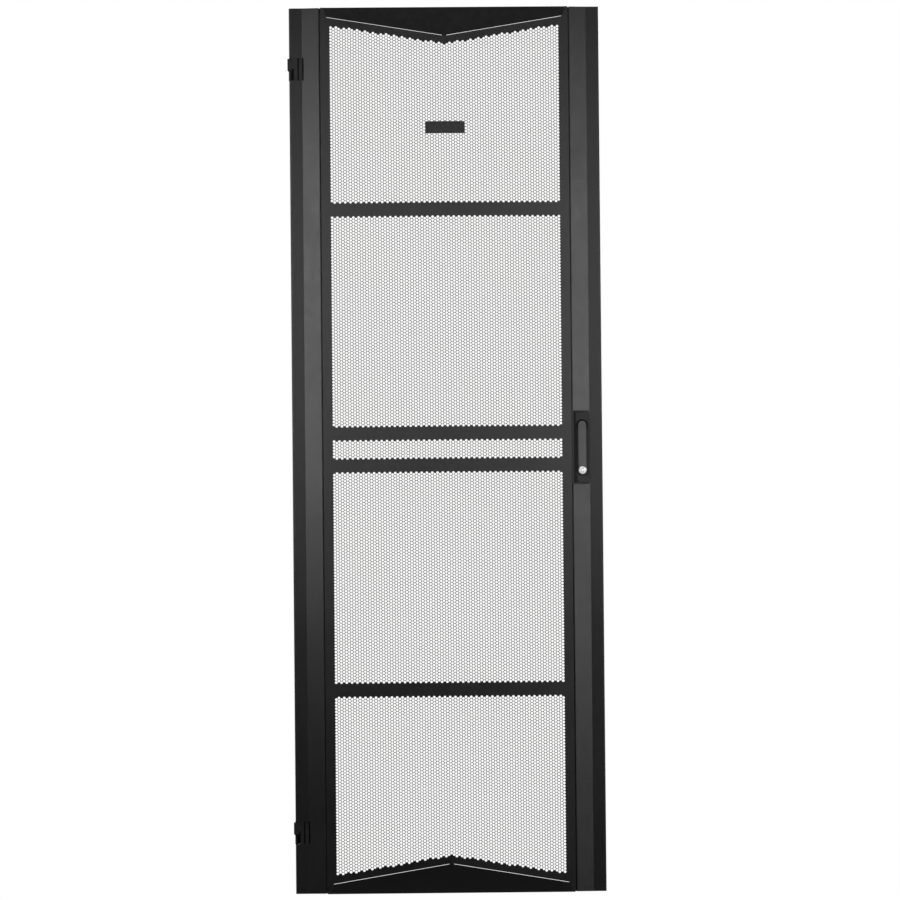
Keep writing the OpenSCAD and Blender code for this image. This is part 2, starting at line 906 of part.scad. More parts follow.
module handle_hub() {
    color(zinc) at_pivot() difference() {
        union() {
            bar_y(spindle_r + 2.5, flange_y, pocket_y - 0.1);
            bar_y(spindle_r, flange_y, crank_y);
            block([-tenon_w / 2, lever_pin_y, -tenon_r], [tenon_w / 2, flange_y + EPS, tenon_r]);
            translate([-tenon_w / 2, lever_pin_y, 0]) rotate([0, 90, 0]) cylinder(r = tenon_r, h = tenon_w);
            block(
                [-crank_square / 2, crank_y - EPS, -crank_square / 2],
                [crank_square / 2, crank_y + bar_t, crank_square / 2]
            );
            bar_y(neck_r, crank_y, tongue_y);
            block(
                [-tongue_square / 2, tongue_y - EPS, -tongue_square / 2],
                [tongue_square / 2, tongue_y + bar_t, tongue_square / 2]
            );
            bar_y(stud_tip_r, tongue_y, tongue_y + bar_t + 6);
        }
        translate([-tenon_w, lever_pin_y, 0]) rotate([0, 90, 0])
            cylinder(r = lever_pin_r + turn_clearance, h = 2 * tenon_w);
    }
}

// Lever: a hollow casting with round ends and chamfered edges
lever_chamfer = 1.6;

module lever_form(inset, back) {
    half = lever_w / 2 - inset;
    front = lever_front + inset;
    outline = [
        [0, back],
        [half, back],
        [half, front + lever_chamfer],
        [half - lever_chamfer, front],
        [0, front]
    ];
    prism_z(-lever_reach, 0) union() {
        polygon(outline);
        mirror([1, 0]) polygon(outline);
    }
    for (z = [0, -lever_reach]) {
        translate([0, 0, z]) rotate([-90, 0, 0]) rotate_extrude() polygon(outline);
    }
}

module handle_lever() {
    slot = tenon_w / 2 + 0.25;
    color(satin_black) at_pivot() difference() {
        lever_form(0, lever_back);
        block([-slot, lever_front + lever_wall, -8.5], [slot, lever_back + 1, lever_w]);
        block(
            [-lever_w / 2 + lever_wall, lever_front + lever_wall + 1, -lever_reach + lever_w / 2 + 3],
            [lever_w / 2 - lever_wall, lever_back + 1, -13]
        );
        translate([-lever_w, lever_pin_y, 0]) rotate([0, 90, 0])
            cylinder(r = lever_pin_r + 0.01, h = 2 * lever_w);
        translate([0, 0, -lever_reach]) bar_y(lock_r + turn_clearance, lever_front - 1, lever_back + 1);
    }
}

module lever_pin() {
    length = lever_w - 2.4;
    color(zinc) at_pivot() translate([-length / 2, lever_pin_y, 0]) rotate([0, 90, 0])
        cylinder(r = lever_pin_r, h = length);
}

// Lock: a chromed barrel in the lever's end and a plug that the key turns
barrel_back = lever_front + 5.5;
key_w = 1.6;
key_h = 6;

module lock_barrel() {
    color(chrome) at_lock() difference() {
        union() {
            bar_y(lock_face_r, lever_front - 1, lever_front - 0.02);
            bar_y(lock_r, lever_front - 1, barrel_back);
        }
        bar_y(plug_r + turn_clearance, lever_front - 2, barrel_back + 1);
    }
}

module lock_plug() {
    color(chrome) at_lock() difference() {
        union() {
            bar_y(plug_r, lever_front - 1.3, barrel_back + 0.1);
            block([-2.5, barrel_back + 0.1, -2.5], [2.5, barrel_back + 2.1, lock_r - 1.4]);
        }
        block([-key_w / 2, lever_front - 2, -key_h / 2], [key_w / 2, lever_front + 2.5, key_h / 2]);
    }
}

// Crank with its two drive pins, on the spindle's square
drive_x = crank_r * cos(crank_lean);
drive_z = crank_r * sin(crank_lean);
drive_pin_back = rods_back + 0.6;

module latch_crank() {
    color(zinc) at_pivot() difference() {
        union() {
            rotate([0, crank_lean, 0]) {
                block([-crank_r, crank_y, -6], [crank_r, crank_y + bar_t, 6]);
                for (side = [-1, 1]) {
                    translate([side * crank_r, 0, 0]) {
                        bar_y(6, crank_y, crank_y + bar_t);
                        bar_y(drive_pin_r, crank_y, drive_pin_back);
                    }
                }
            }
            bar_y(9.5, crank_y, crank_y + bar_t);
        }
        block(
            [-crank_square / 2 - 0.05, crank_y - 1, -crank_square / 2 - 0.05],
            [crank_square / 2 + 0.05, crank_y + bar_t + 1, crank_square / 2 + 0.05]
        );
    }
}

module crank_ring() {
    color(zinc) at_pivot() difference() {
        bar_y(neck_r + 2.2, crank_y + bar_t + 0.02, crank_y + bar_t + 1);
        bar_y(neck_r + 0.02, crank_y, crank_y + 2 * bar_t);
    }
}

module latch_tongue() {
    hole = tongue_square + 0.1;
    color(zinc) at_pivot() difference() {
        union() {
            bar_y(7.5, tongue_y, tongue_y + bar_t);
            plate_y(tongue_y, tongue_y + bar_t) polygon([
                [0, -7.5],
                [tongue_reach - 3, -7.5],
                [tongue_reach, -4.5],
                [tongue_reach, 7.5],
                [0, 7.5]
            ]);
        }
        block([-hole / 2, tongue_y - 1, -hole / 2], [hole / 2, tongue_y + bar_t + 1, hole / 2]);
    }
}

module tongue_nut() {
    color(zinc) at_pivot() difference() {
        plate_y(tongue_y + bar_t, tongue_y + bar_t + 4) circle(r = 8 / sqrt(3), $fn = 6);
        bar_y(stud_tip_r + 0.02, tongue_y, tongue_y + bar_t + 5);
    }
}

// Rods: flat bars in the middle of the pillar's mouth, with a slotted head
// around a drive pin. The upper head lies to the left of the spindle.
rod_x = (lip_x + outer_lip_x) / 2;
rod_top = half_h - rod_end;
slot_in = drive_x - drive_pin_r - 0.3;
slot_out = crank_r + drive_pin_r + 0.3;
slot_half_h = drive_pin_r + drive_room;
head_h = slot_half_h + 3.2;

module upper_rod() {
    left = handle_x - slot_out - 2.4;
    right = handle_x - slot_in + 1.9;
    jog_z = pivot_z + 3 * crank_r;
    head_z = pivot_z + drive_z;
    color(zinc) at_door() difference() {
        plate_y(rods_y, rods_back) polygon([
            [left, head_z - head_h],
            [right, head_z - head_h],
            [right, jog_z],
            [rod_x + rod_w / 2, jog_z + rod_w],
            [rod_x + rod_w / 2, rod_top],
            [rod_x - rod_w / 2, rod_top],
            [rod_x - rod_w / 2, jog_z + 2 * rod_w],
            [left, jog_z + rod_w]
        ]);
        block(
            [handle_x - slot_out, rods_y - 1, head_z - slot_half_h],
            [handle_x - slot_in, rods_back + 1, head_z + slot_half_h]
        );
    }
}

module lower_rod() {
    left = handle_x + slot_in - 1.9;
    right = handle_x + slot_out + 2.4;
    head_z = pivot_z - drive_z;
    color(zinc) at_door() difference() {
        plate_y(rods_y, rods_back) polygon([
            [left, head_z + head_h],
            [right, head_z + head_h],
            [right, head_z - 2 * head_h],
            [rod_x + rod_w / 2, head_z - 2 * head_h - 4],
            [rod_x + rod_w / 2, -rod_top],
            [rod_x - rod_w / 2, -rod_top],
            [rod_x - rod_w / 2, head_z - 2 * head_h - 4],
            [left, head_z - 2 * head_h]
        ]);
        block(
            [handle_x + slot_in, rods_y - 1, head_z - slot_half_h],
            [handle_x + slot_out, rods_back + 1, head_z + slot_half_h]
        );
    }
}

// Nylon tip over the end of a rod, tapered to slide behind its keeper
module rod_tip() {
    wall = 2;
    half = rod_w / 2 + wall;
    difference() {
        prism_x(rod_x - half, rod_x + half) polygon([
            [rods_y - wall, rod_top - tip_l + 6],
            [rods_back + wall, rod_top - tip_l + 6],
            [rods_back + wall, rod_top + 1],
            [rods_back - 1, rod_top + 6],
            [rods_y, rod_top + 6],
            [rods_y - wall, rod_top + 1]
        ]);
        block([rod_x - rod_w / 2, rods_y, 0], [rod_x + rod_w / 2, rods_back, rod_top]);
    }
}

module upper_rod_tip() {
    color(nylon) at_door() rod_tip();
}

module lower_rod_tip() {
    color(nylon) at_door() mirror([0, 0, 1]) rod_tip();
}

// Guides: moulded blocks screwed across the mouth of the pillar
guide_plate = 1.5;

module guide(z) {
    room = slide_clearance;
    difference() {
        union() {
            block(
                [guide_screw_x[0] - 4.5, back_y, z - guide_h / 2],
                [guide_screw_x[1] + 4.5, back_y + guide_plate, z + guide_h / 2]
            );
            block(
                [rod_x - rod_w / 2 - 4, rods_y - 3, z - guide_h / 2],
                [rod_x + rod_w / 2 + 4, back_y + EPS, z + guide_h / 2]
            );
        }
        block(
            [rod_x - rod_w / 2 - room, rods_y - room, z - guide_h],
            [rod_x + rod_w / 2 + room, rods_back + room, z + guide_h]
        );
        for (x = guide_screw_x) {
            translate([x, 0, z]) bar_y(guide_hole_r, back_y - 1, back_y + 3);
        }
    }
}

module upper_rod_guides() {
    color(nylon) at_door() for (z = upper_guides) guide(z);
}

module lower_rod_guides() {
    color(nylon) at_door() for (z = lower_guides) guide(-z);
}

module guide_screws() {
    head_y = back_y + guide_plate;
    color(zinc) at_door() for (z = guide_z) {
        for (x = guide_screw_x) {
            translate([x, 0, z]) difference() {
                union() {
                    bar_y(3.6, head_y, head_y + 1.4);
                    bar_y(guide_hole_r - 0.03, back_y - 6, head_y + 0.5);
                }
                translate([0, head_y + 0.5, 0]) plate_y(0, 2) circle(r = 1.6, $fn = 6);
            }
        }
    }
}

// Earthing stud on the bottom rail, for the bonding lead
stud_reach = 12;

module earth_stud() {
    color(zinc) at_door() translate([stud_x, 0, stud_z]) {
        bar_y(stud_r, back_y - sheet - 1, back_y + stud_reach);
        bar_y(stud_r + 2.5, back_y - sheet - 2.5, back_y - sheet);
    }
}

module earth_nut() {
    color(zinc) at_door() translate([stud_x, 0, stud_z]) difference() {
        union() {
            bar_y(6, back_y, back_y + 1.2);
            plate_y(back_y + 1.2, back_y + 5.2) circle(r = 10 / sqrt(3), $fn = 6);
        }
        bar_y(stud_r + 0.02, back_y - 1, back_y + 6);
    }
}

// Rubber buffers between the pillars' back lips and the rack's posts
buffer_r = 5;

module rubber_buffers() {
    color(rubber) at_door() for (side = [-1, 1]) {
        for (end = [-1, 1]) {
            translate([side * (outer_lip_x + lip_w / 2), 0, end * 0.7 * half_h])
                bar_y(buffer_r, back_y, 0);
        }
    }
}

left_pillar();
right_pillar();
perforated_panel();
top_rail();
bottom_rail();
upper_stiffener();
upper_mid_stiffener();
lower_mid_stiffener();
lower_stiffener();
upper_rack_hinge();
lower_rack_hinge();
upper_hinge_pin();
lower_hinge_pin();
hinge_washers();
upper_door_hinge();
lower_door_hinge();
handle_dish();
handle_clamps();
clamp_screws();
handle_hub();
handle_lever();
lever_pin();
lock_barrel();
lock_plug();
latch_crank();
crank_ring();
latch_tongue();
tongue_nut();
upper_rod();
lower_rod();
upper_rod_tip();
lower_rod_tip();
upper_rod_guides();
lower_rod_guides();
guide_screws();
earth_stud();
earth_nut();
rubber_buffers();
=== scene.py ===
# Perforated door of a server rack, closed, seen square on from a little below its middle.
import json
import math

import bmesh
import bpy
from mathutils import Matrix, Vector


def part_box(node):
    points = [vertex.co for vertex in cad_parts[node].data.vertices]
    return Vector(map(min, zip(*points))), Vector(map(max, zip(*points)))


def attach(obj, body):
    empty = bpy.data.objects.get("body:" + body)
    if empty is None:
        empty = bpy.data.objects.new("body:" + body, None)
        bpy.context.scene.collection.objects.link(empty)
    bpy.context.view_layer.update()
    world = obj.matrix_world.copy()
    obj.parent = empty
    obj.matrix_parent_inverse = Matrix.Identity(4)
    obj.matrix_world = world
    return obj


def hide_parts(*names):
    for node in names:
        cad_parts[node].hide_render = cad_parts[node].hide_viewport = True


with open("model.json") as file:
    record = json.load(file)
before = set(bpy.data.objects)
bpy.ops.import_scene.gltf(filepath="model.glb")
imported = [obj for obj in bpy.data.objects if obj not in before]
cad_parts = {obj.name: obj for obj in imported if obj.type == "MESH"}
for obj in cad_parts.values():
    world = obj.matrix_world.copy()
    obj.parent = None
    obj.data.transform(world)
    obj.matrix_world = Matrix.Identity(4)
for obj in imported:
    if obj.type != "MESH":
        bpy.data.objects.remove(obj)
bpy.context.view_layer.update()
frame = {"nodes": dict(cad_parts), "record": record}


# Camera. A long lens far in front of the door keeps its sides almost parallel. It stands
# a little to the left, level with the lower third of the door, and looks slightly up.
camera = bpy.data.objects.new("camera", bpy.data.cameras.new("camera"))
bpy.context.scene.collection.objects.link(camera)
camera.location = (-0.2422, -17.7002, 0.2838)
camera.rotation_euler = tuple(math.radians(a) for a in (91.7967, 0.5251, -1.8065))
camera.data.lens = 321.61
camera.data.sensor_width = 36
camera.data.clip_end = 60
bpy.context.scene.camera = camera


# Powder coat. The pillars, rails, stiffeners and the grille are steel sheet under a black,
# half-gloss powder coat: a fine orange peel, a slow change of tone, and dust that lies
# on faces that look up. Folded edges are worn a little lighter.
def node_group(name, inputs, outputs):
    """Empty shader group with float or colour sockets, and its input and output nodes."""
    group = bpy.data.node_groups.new(name, "ShaderNodeTree")
    for label, value in inputs:
        kind = "NodeSocketColor" if isinstance(value, tuple) else "NodeSocketFloat"
        socket = group.interface.new_socket(label, in_out="INPUT", socket_type=kind)
        socket.default_value = value
    for label, kind in outputs:
        group.interface.new_socket(label, in_out="OUTPUT", socket_type=kind)
    return group, group.nodes.new("NodeGroupInput"), group.nodes.new("NodeGroupOutput")


def noise(tree, coordinates, scale, detail, distortion=0.0):
    """Noise texture on the given coordinates."""
    texture = tree.nodes.new("ShaderNodeTexNoise")
    texture.inputs["Detail"].default_value = detail
    texture.inputs["Distortion"].default_value = distortion
    if isinstance(scale, (int, float)):
        texture.inputs["Scale"].default_value = scale
    else:
        tree.links.new(scale, texture.inputs["Scale"])
    tree.links.new(coordinates, texture.inputs["Vector"])
    return texture.outputs["Fac"]


def remap(tree, value, low, high, to_low=0.0, to_high=1.0):
    """Value stretched from low..high to to_low..to_high, and clamped."""
    node = tree.nodes.new("ShaderNodeMapRange")
    tree.links.new(value, node.inputs["Value"])
    for label, number in (("From Min", low), ("From Max", high), ("To Min", to_low), ("To Max", to_high)):
        if isinstance(number, (int, float)):
            node.inputs[label].default_value = number
        else:
            tree.links.new(number, node.inputs[label])
    return node.outputs["Result"]


def maths(tree, operation, a, b):
    """Math node on two values, each a socket or a number."""
    node = tree.nodes.new("ShaderNodeMath")
    node.operation = operation
    for slot, value in zip(node.inputs, (a, b)):
        if isinstance(value, (int, float)):
            slot.default_value = value
        else:
            tree.links.new(value, slot)
    return node.outputs[0]


def blended(tree, factor, a, b):
    """Colour mixed from a to b by factor, each colour a socket or a tuple."""
    node = tree.nodes.new("ShaderNodeMix")
    node.data_type = "RGBA"
    tree.links.new(factor, node.inputs["Factor"])
    for label, value in (("A", a), ("B", b)):
        slot = [s for s in node.inputs if s.name == label and s.type == "RGBA"][0]
        if isinstance(value, tuple):
            slot.default_value = value
        else:
            tree.links.new(value, slot)
    return [s for s in node.outputs if s.type == "RGBA"][0]


def grey(level, warmth=0.0):
    """Opaque grey of a linear level, a trace bluer where warmth is below zero."""
    return (level * (1 + warmth), level, level * (1 - warmth), 1.0)


def coated_surface_group():
    """Colour, roughness and normal of a sprayed or baked coat."""
    group, given, result = node_group(
        "coated_surface",
        [("Color", grey(0.02)), ("Rubbed Color", grey(0.06)), ("Roughness", 0.4), ("Peel Size", 900.0),
         ("Peel Depth", 0.2), ("Dust", 0.2), ("Edge Radius", 0.0006), ("Rubbing", 0.4)],
        [("Color", "NodeSocketColor"), ("Roughness", "NodeSocketFloat"), ("Normal", "NodeSocketVector")],
    )
    place = group.nodes.new("ShaderNodeTexCoord").outputs["Object"]
    geometry = group.nodes.new("ShaderNodeNewGeometry")
    slow = noise(group, place, 3.5, 3, 0.4)
    mottle = noise(group, place, 60.0, 4)
    peel = noise(group, place, given.outputs["Peel Size"], 2)
    bump = group.nodes.new("ShaderNodeBump")
    bump.inputs["Distance"].default_value = 0.0003
    group.links.new(given.outputs["Peel Depth"], bump.inputs["Strength"])
    group.links.new(peel, bump.inputs["Height"])
    rounded = group.nodes.new("ShaderNodeBevel")
    rounded.samples = 4
    group.links.new(given.outputs["Edge Radius"], rounded.inputs["Radius"])
    closeness = group.nodes.new("ShaderNodeVectorMath")
    closeness.operation = "DOT_PRODUCT"
    group.links.new(rounded.outputs["Normal"], closeness.inputs[0])
    group.links.new(geometry.outputs["True Normal"], closeness.inputs[1])
    # edges are tinted toward the lighter colour: wear on the coats, and on the lever partly a painted highlight along
    # its edges
    edge = remap(group, closeness.outputs["Value"], 0.995, 0.8)
    patchy = remap(group, mottle, 0.42, 0.62)
    rubbed = maths(group, "MULTIPLY", maths(group, "MULTIPLY", edge, patchy), given.outputs["Rubbing"])
    up = group.nodes.new("ShaderNodeSeparateXYZ")
    group.links.new(geometry.outputs["True Normal"], up.inputs[0])
    lying = maths(group, "MULTIPLY", remap(group, up.outputs["Z"], 0.2, 0.9), remap(group, mottle, 0.3, 0.7))
    dusty = maths(group, "MULTIPLY", lying, given.outputs["Dust"])
    fresh, bare = given.outputs["Color"], given.outputs["Rubbed Color"]
    toned = blended(group, remap(group, slow, 0.3, 0.7, 0.0, 0.22), fresh, bare)
    wear_and_sheen_color = blended(group, rubbed, toned, bare)
    group.links.new(blended(group, dusty, wear_and_sheen_color, grey(0.22, 0.06)), result.inputs["Color"])
    handled = remap(group, slow, 0.25, 0.75, -0.035, 0.035)
    speckle = remap(group, mottle, 0.3, 0.7, -0.02, 0.03)
    rough = maths(group, "ADD", maths(group, "ADD", given.outputs["Roughness"], handled), speckle)
    rough = maths(group, "ADD", rough, maths(group, "MULTIPLY", dusty, 0.3))
    polished = maths(group, "MULTIPLY", rubbed, 0.08)
    group.links.new(maths(group, "SUBTRACT", rough, polished), result.inputs["Roughness"])
    group.links.new(rounded.outputs["Normal"], bump.inputs["Normal"])
    group.links.new(bump.outputs["Normal"], result.inputs["Normal"])
    return group


coated_surface = coated_surface_group()


def new_material(name):
    """Material with a Principled shader, and that shader."""
    material = bpy.data.materials.new(name)
    material.use_nodes = True
    return material, material.node_tree.nodes["Principled BSDF"]


def coated_material(name, group=coated_surface, metallic=0.0, specular=0.5, **values):
    """Principled material whose colour, roughness and normal come from a surface group."""
    material, shader = new_material(name)
    tree = material.node_tree
    surface = tree.nodes.new("ShaderNodeGroup")
    surface.node_tree = group
    for label, value in values.items():
        surface.inputs[label.replace("_", " ").title()].default_value = value
    for label, target in (("Color", "Base Color"), ("Roughness", "Roughness"), ("Normal", "Normal")):
        tree.links.new(surface.outputs[label], shader.inputs[target])
    shader.inputs["Metallic"].default_value = metallic
    shader.inputs["Specular IOR Level"].default_value = specular
    return material


def dress(name, material):
    """Gives a CAD node its finish."""
    node = frame["nodes"][name]
    node.data.materials.clear()
    node.data.materials.append(material)


powder_black = coated_material("powder_black", color=grey(0.007), rubbed_color=grey(0.02), roughness=0.36)
for name in ("left_pillar", "right_pillar", "top_rail", "bottom_rail"):
    dress(name, powder_black)
for name in ("upper_stiffener", "upper_mid_stiffener", "lower_mid_stiffener", "lower_stiffener"):
    dress(name, powder_black)


# Grille. One sheet of 1.2 mm steel, punched with hexagonal holes of 5.5 mm on a pitch of
# 6.7 mm, then creased forward along its middle and folded back in a V at both ends,
# along rows of long slots. Each field of holes is punched flat and then bent.
MM = 0.001
panel_low, panel_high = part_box("perforated_panel")
middle_x = (panel_low.x + panel_high.x) / 2
middle_z = (panel_low.z + panel_high.z) / 2
half_width = (panel_high.x - panel_low.x) / 2
half_height = (panel_high.z - panel_low.z) / 2
SHEET = 1.2 * MM
HOLE = 5.5 * MM
PITCH = 6.7 * MM
COLUMNS = 87
MARGIN = 20.5 * MM
LAND = 15 * MM
BAND = 26.6 * MM
INNER_BAND = 35 * MM
OUTER_BAND = 528 * MM
FOLD_SIDE = 19.5 * MM
FOLD_MIDDLE = 65 * MM
FOLD_DEPTH = 8 * MM
SLOT_WIDTH = 0.8 * MM
SLOT_MARGIN = 15 * MM
BRIDGE = 10 * MM
CORNER = 9 * MM
CORNER_CUT = 2.5 * MM
PLATE_WIDTH = 86.5 * MM
PLATE_HEIGHT = 26.7 * MM
PLATE_Z = 708 * MM
crease_y = panel_low.y
facet_slope = FOLD_DEPTH / FOLD_SIDE
strip_y = crease_y + facet_slope * FOLD_MIDDLE
seam_y = strip_y - FOLD_DEPTH
crease_slope = (seam_y - crease_y) / half_width


def fold_z(x):
    """Height of the fold above half height, at x from the middle."""
    return half_height - FOLD_MIDDLE + (FOLD_MIDDLE - FOLD_SIDE) * abs(x) / half_width


slot_end = half_width - SLOT_MARGIN
corner_slope = FOLD_DEPTH / CORNER
corner_rise = (strip_y - crease_y - crease_slope * slot_end + corner_slope * (SLOT_MARGIN - CORNER)) / (
    half_height - fold_z(slot_end)
)


def sheet_y(x, z):
    """Depth of the bent sheet's front at x and z from its middle."""
    across, up = abs(x), half_height - abs(z)
    corner = strip_y - corner_slope * (across - half_width + CORNER) - corner_rise * up
    return max(crease_y + crease_slope * across, min(strip_y - facet_slope * up, corner))


def value_node(tree, kind, **settings):
    """Geometry node of a kind, with its settings."""
    node = tree.nodes.new(kind)
    for label, value in settings.items():
        setattr(node, label, value)
    return node


def punching_tree():
    """Geometry Nodes: a staggered field of hexagonal cells, each a ring round its hole. With
    Outline Only set, the field's own edge comes out instead, for the plain sheet around it."""
    tree = bpy.data.node_groups.new("punched_field", "GeometryNodeTree")
    for label in ("Columns", "Rows", "First Column", "Last Column"):
        tree.interface.new_socket(label, in_out="INPUT", socket_type="NodeSocketInt")
    sizes = ("Pitch", "Hole", "Lowest", "Thickness", "Fold Limit", "Fold Slope", "Plate X", "Plate Z", "Plate Middle")
    for label in sizes:
        tree.interface.new_socket(label, in_out="INPUT", socket_type="NodeSocketFloat")
    tree.interface.new_socket("Outline Only", in_out="INPUT", socket_type="NodeSocketBool")
    tree.interface.new_socket("Finish", in_out="INPUT", socket_type="NodeSocketMaterial")
    tree.interface.new_socket("Sheet", in_out="OUTPUT", socket_type="NodeSocketGeometry")
    given = tree.nodes.new("NodeGroupInput").outputs
    link = tree.links.new

    def sum_of(operation, *values):
        node = value_node(tree, "ShaderNodeMath", operation=operation)
        for slot, value in zip(node.inputs, values):
            if isinstance(value, (int, float)):
                slot.default_value = value
            else:
                link(value, slot)
        return node.outputs[0]

    def fed(kind, *values, **settings):
        node = value_node(tree, kind, **settings)
        for label, value in values:
            if isinstance(value, (int, float)):
                node.inputs[label].default_value = value
            else:
                link(value, node.inputs[label])
        return node

    # one point for each hole: columns are half a pitch up or down in turn
    count = sum_of("MULTIPLY", given["Columns"], given["Rows"])
    grid = fed("GeometryNodeMeshLine", ("Count", count), mode="OFFSET")
    index = tree.nodes.new("GeometryNodeInputIndex").outputs[0]
    row = sum_of("FLOOR", sum_of("DIVIDE", sum_of("ADD", index, 0.5), given["Columns"]))
    column = sum_of("SUBTRACT", index, sum_of("MULTIPLY", row, given["Columns"]))
    from_middle = sum_of("SUBTRACT", column, sum_of("DIVIDE", sum_of("SUBTRACT", given["Columns"], 1), 2))
    odd = sum_of("MODULO", sum_of("ABSOLUTE", from_middle), 2)
    x = sum_of("MULTIPLY", from_middle, sum_of("MULTIPLY", given["Pitch"], math.sqrt(3) / 2))
    steps_up = sum_of("ADD", row, sum_of("DIVIDE", odd, 2))
    z = sum_of("ADD", given["Lowest"], sum_of("MULTIPLY", given["Pitch"], steps_up))
    place = fed("ShaderNodeCombineXYZ", ("X", x), ("Y", z))
    placed = fed("GeometryNodeSetPosition", ("Geometry", grid.outputs[0]), ("Position", place.outputs[0]))

    # no hole over the fold's land or the name plate, nor outside the columns asked for
    parts = fed("ShaderNodeSeparateXYZ", (0, tree.nodes.new("GeometryNodeInputPosition").outputs[0]))
    width = sum_of("ABSOLUTE", parts.outputs["X"])
    ceiling = sum_of("ADD", given["Fold Limit"], sum_of("MULTIPLY", width, given["Fold Slope"]))
    over = sum_of("GREATER_THAN", parts.outputs["Y"], ceiling)
    off_plate = sum_of("ABSOLUTE", sum_of("SUBTRACT", parts.outputs["Y"], given["Plate Middle"]))
    covered = sum_of(
        "MULTIPLY", sum_of("LESS_THAN", width, given["Plate X"]), sum_of("LESS_THAN", off_plate, given["Plate Z"])
    )
    step = sum_of("DIVIDE", parts.outputs["X"], sum_of("MULTIPLY", given["Pitch"], math.sqrt(3) / 2))
    before = sum_of("LESS_THAN", step, sum_of("SUBTRACT", given["First Column"], 0.5))
    after = sum_of("GREATER_THAN", step, sum_of("ADD", given["Last Column"], 0.5))
    unwanted = sum_of("MAXIMUM", sum_of("MAXIMUM", over, covered), sum_of("MAXIMUM", before, after))
    spots = fed(
        "GeometryNodeDeleteGeometry", ("Geometry", placed.outputs[0]), ("Selection", unwanted), domain="POINT"
    ).outputs[0]

    def copied(shape):
        copies = fed("GeometryNodeInstanceOnPoints", ("Points", spots), ("Instance", shape))
        real = fed("GeometryNodeRealizeInstances", ("Geometry", copies.outputs[0]))
        return fed("GeometryNodeMergeByDistance", ("Geometry", real.outputs[0]), ("Distance", 2e-6)).outputs[0]

    # a cell: a hexagon as wide as the pitch, with the hole cut from it
    cell_radius = sum_of("DIVIDE", given["Pitch"], math.sqrt(3))
    hole_radius = sum_of("DIVIDE", given["Hole"], math.sqrt(3))
    cell_edge = fed("GeometryNodeCurvePrimitiveCircle", ("Resolution", 6), ("Radius", cell_radius), mode="RADIUS")
    hole_edge = fed("GeometryNodeCurvePrimitiveCircle", ("Resolution", 6), ("Radius", hole_radius), mode="RADIUS")
    edges = tree.nodes.new("GeometryNodeJoinGeometry")
    link(hole_edge.outputs["Curve"], edges.inputs[0])
    link(cell_edge.outputs["Curve"], edges.inputs[0])
    ring = fed("GeometryNodeFillCurve", ("Curve", edges.outputs[0]))
    rings = copied(ring.outputs[0])

    # the field's own edge: of all the cells' edges, those with one face beside them
    solid_cell = fed("GeometryNodeFillCurve", ("Curve", cell_edge.outputs["Curve"]))
    cells = copied(solid_cell.outputs[0])
    beside = tree.nodes.new("GeometryNodeInputMeshEdgeNeighbors").outputs["Face Count"]
    inner = sum_of("GREATER_THAN", beside, 1.5)
    edge_only = fed(
        "GeometryNodeDeleteGeometry", ("Geometry", cells), ("Selection", inner), domain="EDGE", mode="EDGE_FACE"
    )
    outline = fed("GeometryNodeMeshToCurve", ("Mesh", edge_only.outputs[0]))
    outline = fed("GeometryNodeCurveToMesh", ("Curve", outline.outputs[0]))

    thick = thickened(tree, rings, given["Thickness"])
    either = fed("GeometryNodeSwitch", ("Switch", given["Outline Only"]), input_type="GEOMETRY")
    link(thick, either.inputs["False"])
    link(outline.outputs[0], either.inputs["True"])
    finish_tree(tree, either.outputs[0], given["Finish"], "Sheet")
    return tree


def thickened(tree, flat, thickness):
    """Nodes that turn a flat sheet into a closed one of that thickness."""
    thick = value_node(tree, "GeometryNodeExtrudeMesh", mode="FACES")
    thick.inputs["Individual"].default_value = False
    tree.links.new(flat, thick.inputs["Mesh"])
    tree.links.new(thickness, thick.inputs["Offset Scale"])
    turned = tree.nodes.new("GeometryNodeFlipFaces")
    tree.links.new(flat, turned.inputs[0])
    both = tree.nodes.new("GeometryNodeJoinGeometry")
    tree.links.new(thick.outputs["Mesh"], both.inputs[0])
    tree.links.new(turned.outputs[0], both.inputs[0])
    closed = tree.nodes.new("GeometryNodeMergeByDistance")
    closed.inputs["Distance"].default_value = 2e-6
    tree.links.new(both.outputs[0], closed.inputs["Geometry"])
    return closed.outputs[0]


def finish_tree(tree, geometry, finish, label):
    """Ends a tree in Realize Instances and Set Material."""
    whole = tree.nodes.new("GeometryNodeRealizeInstances")
    tree.links.new(geometry, whole.inputs[0])
    coated = tree.nodes.new("GeometryNodeSetMaterial")
    tree.links.new(whole.outputs[0], coated.inputs["Geometry"])
    tree.links.new(finish, coated.inputs["Material"])
    tree.links.new(coated.outputs[0], tree.nodes.new("NodeGroupOutput").inputs[label])


def sheet_tree():
    """Geometry Nodes: a flat sheet filled between the closed loops that come in."""
    tree = bpy.data.node_groups.new("plain_sheet", "GeometryNodeTree")
    tree.interface.new_socket("Loops", in_out="INPUT", socket_type="NodeSocketGeometry")
    tree.interface.new_socket("Thickness", in_out="INPUT", socket_type="NodeSocketFloat")
    tree.interface.new_socket("Finish", in_out="INPUT", socket_type="NodeSocketMaterial")
    tree.interface.new_socket("Sheet", in_out="OUTPUT", socket_type="NodeSocketGeometry")
    given = tree.nodes.new("NodeGroupInput").outputs
    loops = tree.nodes.new("GeometryNodeMeshToCurve")
    tree.links.new(given["Loops"], loops.inputs["Mesh"])
    filled = tree.nodes.new("GeometryNodeFillCurve")
    tree.links.new(loops.outputs[0], filled.inputs["Curve"])
    finish_tree(tree, thickened(tree, filled.outputs[0], given["Thickness"]), given["Finish"], "Sheet")
    return tree


